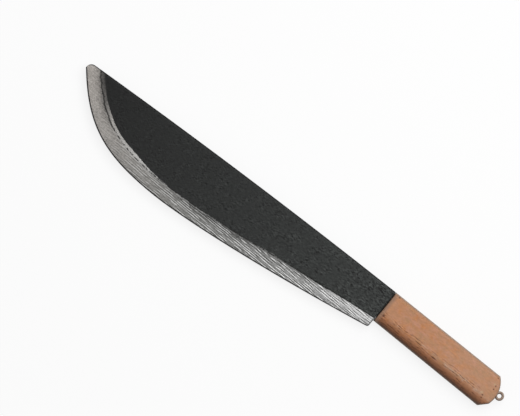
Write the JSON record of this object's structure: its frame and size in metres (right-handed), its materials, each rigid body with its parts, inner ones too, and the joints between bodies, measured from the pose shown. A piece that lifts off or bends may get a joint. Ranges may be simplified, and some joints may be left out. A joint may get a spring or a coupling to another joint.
{
  "type": "costume machete",
  "caption": "Moulded-plastic costume machete: swept hollow blade with a silvered bevel, wood-look handle scales screwed over the tang and a hanging eye at the butt.",
  "frame": {"origin": "bottom centre of the bounding box, on the surface that the rear of the handle lies on", "axes": "+X along the handle from the blade's tip to the butt, +Y from the cutting edge to the spine, +Z from the rear side to the front side"},
  "size_m": [0.54, 0.0784, 0.021],
  "materials": {
    "blade_black": "charcoal paint over a fine scaly texture, silver paint on the bevel",
    "handle_brown": "satin brown paint with a dark wash along the grain",
    "eye_taupe": "bare satin plastic",
    "screw_steel": "zinc-plated"
  },
  "bodies": {
    "root": {"blade_shell_front": "blade_black", "blade_shell_rear": "blade_black", "handle_scale_front": "handle_brown", "handle_scale_rear": "handle_brown", "hang_eye": "eye_taupe", "handle_screw_front": "screw_steel", "handle_screw_middle": "screw_steel", "handle_screw_butt": "screw_steel"}
  },
  "joints": []
}
